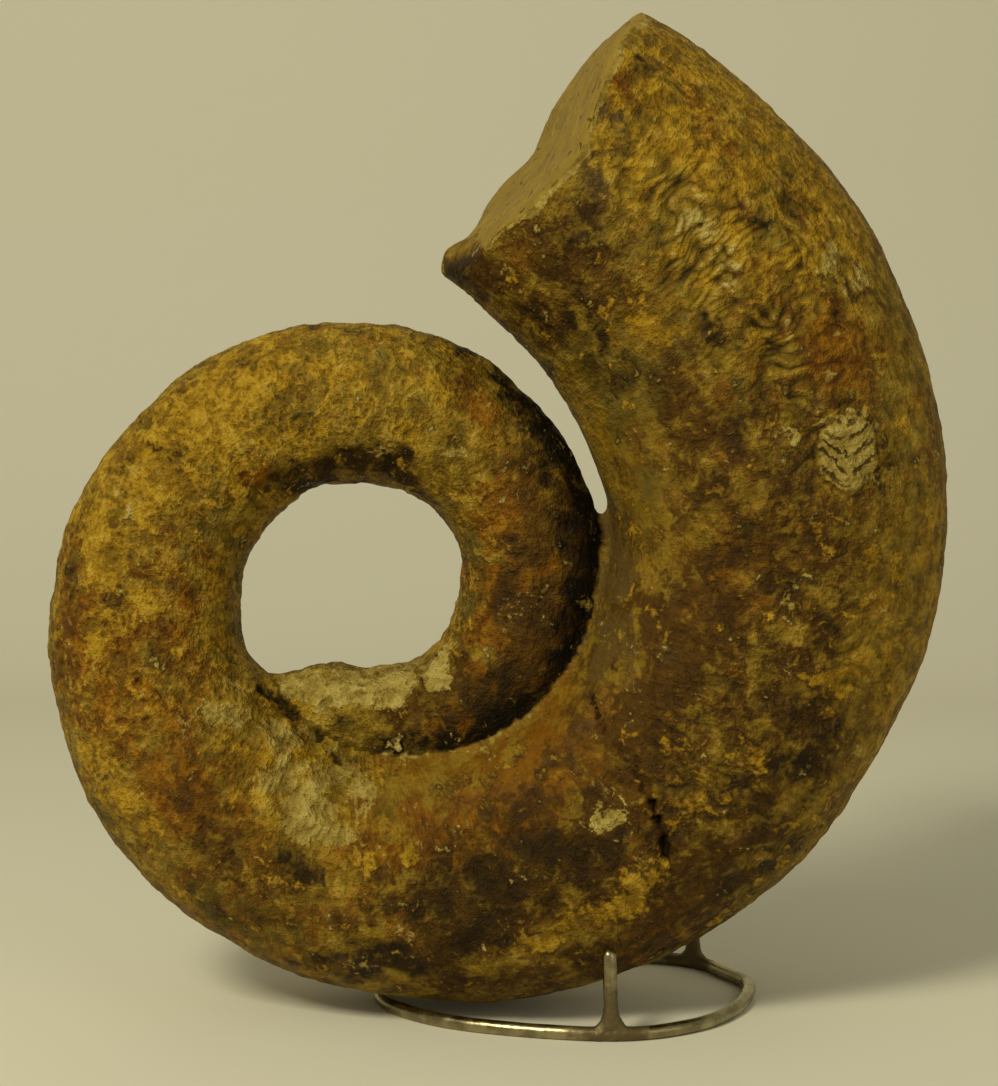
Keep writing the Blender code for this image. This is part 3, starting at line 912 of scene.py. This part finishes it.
# The leaf-like mark: slanting ribs on both sides of a middle line, with a dark rim
leaf_x, leaf_z, _ = stone.channels(stone.held("rosette_place", "Vector"))
leaf = stone.held("rosette")
from_middle = abs(leaf_x + leaf_z * LEAF_LEAN + blotch * 9.0)
rib = ((leaf_z - from_middle * RIB_LEAN + clump * 6.0 + blotch * 8.0) * (1 / RIB_SPACING)).part()
rib_edge = abs(rib - 0.5) + speck * 0.35
ribs = (1 - rib_edge.between(0.02, 0.21)) * leaf.between(0.4, 0.9) * from_middle.between(0.3, 2.4)
ribs = ribs + leaf.between(0.02, 0.2) * (1 - leaf.between(0.2, 0.6)) * 0.4

# Cracks, crust and the broken face with its pits
crevice = (stone.held("cut_line") + clump * 2.4 + speck).between(0.3, 0.8)
crust = stone.held("pale").between(0.25, 0.6)
broken_share = stone.held("broken").between(0.35, 0.65)
break_pit = clump.between(0.15, 0.20) * broken_share

# Tone: how light the surface is within each finish
sleek = 1 - frill * 0.55
strand = fibre * (0.7 - grain * 0.3) * (1 - crust * 0.85) * (1 - broken_share) * sleek
tone = (blotch * 0.6 + clump * 0.6) * sleek + speck * (0.4 + grain * 0.4) * sleek + strand
tone = tone - dark_grain * (0.03 + grain * 0.17) + pale_grain * (0.04 + grain * 0.10)
# High relief is painted lighter and hollows darker, and the wrinkles' lobes are lighter in their middles and
# darker in their gaps: pale ground with painted light on the tops and painted shade in the gaps and hollows
tone = tone + raised * (0.09 + frill * 0.04) + (0.42 - fold) * frill * 0.62 - fold_gap_shade * 0.22
# Cracks, grooves and dents are painted darker: painted shade in them
tone = MIDDLE_TONE + tone * (0.92 - calm) - ribs * 0.52 - crevice * 0.36 - stone.held("cuts") * 0.12
# Pits in the broken face are painted darker: painted shade in them
break_tone = MIDDLE_TONE + blotch * 0.5 + clump * 0.2 - break_pit * 0.45


def finish_colours(kind, tone):
    """The colours of one finish, from its darkest to its lightest."""
    return stone.ramp(tone, [(stop, colour(*screen)) for stop, screen in zip(TONE_STOPS, FINISHES[kind])])


broad = stone.channels(stone.held("broad", "Vector"))
small = (clump, mottle - 0.5, stone.cloud(4.4, 2, 0.7, on_loose) - 0.5)
frays = [wide * 1.5 + fine * 1.2 + speck * 0.5 + fibre * 0.6 for wide, fine in zip(broad, small)]
surface = finish_colours("gold", tone)
for kind, strength, softness, fray in COVERS:
    spread = stone.held(kind) * strength + frays[fray]
    if kind == "pale":
        # The lobes' middles are paler: pale ground with painted light on their tops
        spread = spread + (0.36 - fold) * frill * 1.1
    covered = spread.between(0.5 - softness, 0.5 + softness)
    surface = stone.mixed(covered, surface, finish_colours(kind, tone))
edge_share = (stone.held("chamfer") + frays[0] * 0.8).between(0.35, 0.55)
surface = stone.mixed(edge_share, surface, finish_colours("pale", tone - 0.06))
surface = stone.mixed(broken_share, surface, finish_colours("break", break_tone))

# Fine relief in millimetres
height = speck * 2.1 + strand * 1.9 + (clump * 1.8 + blotch * 2.0) * sleek - fold * frill * 2.3
height = height * (1 - calm) * (1 - broken_share * 0.55) + crust * (clump * 1.4 + blotch * 1.2)
height = height - ribs * 1.1 - crevice * 0.8 - break_pit * 1.2
stone.set(
    Base_Color=surface,
    Roughness=0.62 + blotch * 0.5 - raised * 0.04,
    Specular_IOR_Level=0.12,
    Normal=stone.bump(height),
)

fossil = link("fossil", fossil_mesh)
fossil_mesh.shade_smooth()
fossil_mesh.materials.clear()
fossil_mesh.materials.append(stone.material)
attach(fossil, "root")
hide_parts("ammonite")

# Stand: a brass rod bent to a ring and closed by a weld, with three short prongs welded on. It was never
# lacquered, so it is tarnished and browned round its welds. Rods and weld beads are joined into one skin.

ROD_RADIUS, RING_HEIGHT = 3.0, 2.7  # the centre of the ring's rod lies low: its underside is filed flat
RING_BENDS = np.array([  # x and y of the rod's centre where it was bent
    (-50, 4),
    (-40, -22),
    (-10, -44),
    (44, -57),
    (78, -46),
    (99, -21),
    (109, 14),
    (102, 34),
    (86, 57),
    (44, 68),
    (2, 64),
    (-36, 42),
], float)
BEND_STEPS, ROD_SIDES, ROD_CELL = 24, 24, 0.62 * MM
PRONGS = [  # x and y of the foot on the ring and of the tip
    ((46, -57), (45, -53)),
    ((88, 55), (88, 40)),
    ((18, 67), (19, 38)),
]
WELD_LEVELS = [  # height above the rod's centre, then half sizes along and across the ring
    (0.0, 8.6, 2.3),
    (2.2, 8.2, 2.6),
    (3.3, 6.4, 2.9),
    (5.0, 4.7, 3.0),
    (7.6, 3.6, 3.0),
    (11.0, 3.0, 3.0),
]
RING_WELD = (-39, 39, RING_HEIGHT)
TIP_ANGLES = (0, 20, 40, 60, 75, 85)  # degrees up the round of a prong's tip
PRONG_BEAD, RING_BEAD = (12, 5), (9, 4)  # where a weld's bead ends and is whole, from the weld's middle
PRONG_BROWNING, RING_BROWNING = (24, 6), (20, 5)
ROD_WAVES, BEAD_RIPPLES, ROD_SETBACK, ROD_ROUNDS = 0.09, 0.28, 0.08, 2
RING_BEAD_RISE, RING_BEAD_TOP = 0.5, (7, 2)
DULL_BRASS = (0.24, 0.20, 0.105, 1)
RUBBED_BRASS = (0.43, 0.37, 0.21, 1)
BROWN_TARNISH = (0.13, 0.095, 0.04, 1)


def ring_path():
    """Points on a closed Catmull-Rom curve through the ring's bends."""
    path = []
    for k in range(len(RING_BENDS)):
        a, b, c, d = (RING_BENDS[(k + n) % len(RING_BENDS)] for n in (-1, 0, 1, 2))
        for t in np.linspace(0, 1, BEND_STEPS, endpoint=False):
            curve = (2 * a - 5 * b + 4 * c - d) * t**2 + (3 * b - a - 3 * c + d) * t**3
            path.append(0.5 * (2 * b + (c - a) * t + curve))
    return np.array(path)


def prong_rings(foot, tip, along):
    """Rings from the weld's foot up a straight prong to its rounded tip."""
    across = np.array((-along[1], along[0], 0))
    levels = list(WELD_LEVELS)
    rise = tip[2] - foot[2]
    for angle in np.radians(TIP_ANGLES):
        reach = ROD_RADIUS * math.cos(angle)
        levels.append((rise - ROD_RADIUS * (1 - math.sin(angle)), reach, reach))
    turns = np.linspace(0, 2 * math.pi, ROD_SIDES, endpoint=False)
    return [
        foot + (tip - foot) * (height / rise)
        + np.cos(turns)[:, None] * (long * along) + np.sin(turns)[:, None] * (wide * across)
        for height, long, wide in levels
    ]


path = ring_path()
ahead = np.roll(path, -1, axis=0) - np.roll(path, 1, axis=0)
ahead /= np.linalg.norm(ahead, axis=1)[:, None]
rod_turns = np.linspace(0, 2 * math.pi, ROD_SIDES, endpoint=False)
ring_rings = []
for (x, y), (dx, dy) in zip(path, ahead):
    outward = np.cos(rod_turns)[:, None] * (ROD_RADIUS * np.array((dy, -dx, 0)))
    upward = np.sin(rod_turns)[:, None] * np.array((0, 0, ROD_RADIUS))
    ring_rings.append(np.array((x, y, RING_HEIGHT)) + outward + upward)
tubes = [ring_rings + ring_rings[:2]]
feet = []
for foot_plan, tip_plan in PRONGS:
    nearest = np.linalg.norm(path - foot_plan, axis=1).argmin()
    over_tip = np.linalg.norm(rod_points[:, :2] - tip_plan, axis=1) < ROD_RADIUS
    foot = np.array((*path[nearest], RING_HEIGHT))
    tip = np.array((*tip_plan, rod_points[over_tip, 2].max()))
    tubes.append(prong_rings(foot, tip, np.array((*ahead[nearest], 0))))
    feet.append(foot)
stand_mesh = remeshed("stand", tube_mesh("stand", *tubes), ROD_CELL)
rod_place = relaxed(stand_mesh, points_of(stand_mesh), ROD_ROUNDS)
put_points(stand_mesh, rod_place)
to_foot = np.min([np.linalg.norm((rod_place - foot) * (1, 1, 0.8), axis=1) for foot in feet], axis=0)
to_ring_weld = np.linalg.norm(rod_place - RING_WELD, axis=1)
weld = np.maximum(step(*PRONG_BEAD, to_foot), step(*RING_BEAD, to_ring_weld))
browned = np.maximum(step(*PRONG_BROWNING, to_foot), step(*RING_BROWNING, to_ring_weld))
browned += 0.3 * noise(rod_place, 14, 70, 3)
unevenness = ROD_WAVES * noise(rod_place, 12, 71, 2) + weld * BEAD_RIPPLES * noise(rod_place, 2.6, 72, 2)
unevenness += RING_BEAD_RISE * step(*RING_BEAD_TOP, to_ring_weld) - ROD_SETBACK
put_points(stand_mesh, np.clip(rod_place + normals_of(stand_mesh) * unevenness[:, None], low, high))
keep(stand_mesh, {"weld": weld, "browned": browned})

brass = Finish("stand_brass")
smudge = brass.cloud(9, 4, 0.6) - 0.5
rub = brass.cloud(1.6, 3, 0.6) - 0.5
scratch = brass.cloud(0.9, 2, 0.5, brass.times(brass.place, (0.25, 0.25, 1.6))) - 0.5
tarnish = (brass.held("browned") + smudge * 1.6 + rub * 0.5).between(0.25, 0.85)
metal = brass.mixed(smudge.between(-0.16, 0.18), DULL_BRASS, RUBBED_BRASS)
brass.set(
    Base_Color=brass.mixed(tarnish, metal, BROWN_TARNISH),
    Roughness=0.30 + smudge * 0.25 + scratch * 0.3 + tarnish * 0.20,
    Metallic=1 - tarnish * 0.35,
    Normal=brass.bump(scratch * 0.06 + rub * (0.05 + brass.held("weld") * 0.25)),
)
stand = link("stand_rods", stand_mesh)
stand_mesh.shade_smooth()
stand_mesh.materials.clear()
stand_mesh.materials.append(brass.material)
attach(stand, "root")
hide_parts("stand")

# Stage: a sheet of pale paper for a floor that sweeps up behind, two soft lights, a pale sky and the camera
FLOOR_NEAR, FLOOR_MIDDLE, FLOOR_FAR = -3.0, -1.0, 0.9
SWEEP_RADIUS, WALL_TOP, HALF_WIDTH = 0.5, 2.6, 3.0
SWEEP_STEPS = 25
PAPER = (0.76, 0.73, 0.63, 1)
LIGHTS = (  # name, place, size, power and colour
    ("key", (-0.9, -1.3, 1.5), 0.5, 27, (1.0, 0.95, 0.68)),
    ("fill", (1.5, -1.4, 0.8), 1.4, 4.5, (1.0, 0.95, 0.70)),
)
LIT_PLACE = Vector((0, 0, 0.2))
SKY, SKY_STRENGTH = (1.0, 0.96, 0.72, 1), 0.30
FOCAL_PIXELS, PICTURE_HEIGHT, FILM_HEIGHT = 2200, 1086, 36
VIEW_TILT = 3.978

profile = [(FLOOR_NEAR, 0.0), (FLOOR_MIDDLE, 0.0)]
for angle in np.linspace(0, math.pi / 2, SWEEP_STEPS):
    profile.append((FLOOR_FAR + SWEEP_RADIUS * math.sin(angle), SWEEP_RADIUS * (1 - math.cos(angle))))
profile.append((FLOOR_FAR + SWEEP_RADIUS, WALL_TOP))
bm = bmesh.new()
left, right = ([bm.verts.new((x, y, z)) for y, z in profile] for x in (-HALF_WIDTH, HALF_WIDTH))
for k in range(len(profile) - 1):
    bm.faces.new((left[k], right[k], right[k + 1], left[k + 1]))
backdrop_mesh = bpy.data.meshes.new("backdrop")
bm.to_mesh(backdrop_mesh)
bm.free()
backdrop_mesh.shade_smooth()
backdrop = link("backdrop", backdrop_mesh)
paper = Finish("backdrop_paper")
paper.set(Base_Color=PAPER, Roughness=0.9)
backdrop_mesh.materials.append(paper.material)

for name, spot, size, power, tint in LIGHTS:
    light = bpy.data.lights.new(name, "AREA")
    light.size = size
    light.energy = power
    light.color = tint
    lamp = link(name, light)
    lamp.location = spot
    lamp.rotation_euler = (LIT_PLACE - Vector(spot)).to_track_quat("-Z", "Y").to_euler()
world = bpy.data.worlds.new("studio")
bpy.context.scene.world = world
world.use_nodes = True
world.node_tree.nodes["Background"].inputs["Color"].default_value = SKY
world.node_tree.nodes["Background"].inputs["Strength"].default_value = SKY_STRENGTH
bpy.context.scene.view_settings.view_transform = "Standard"

camera_data = bpy.data.cameras.new("camera")
camera_data.lens = FOCAL_PIXELS / PICTURE_HEIGHT * FILM_HEIGHT
camera_data.sensor_width = FILM_HEIGHT
camera = link("camera", camera_data)
camera.location = EYE * MM
camera.rotation_euler = (math.radians(90 - VIEW_TILT), 0, 0)
bpy.context.scene.camera = camera
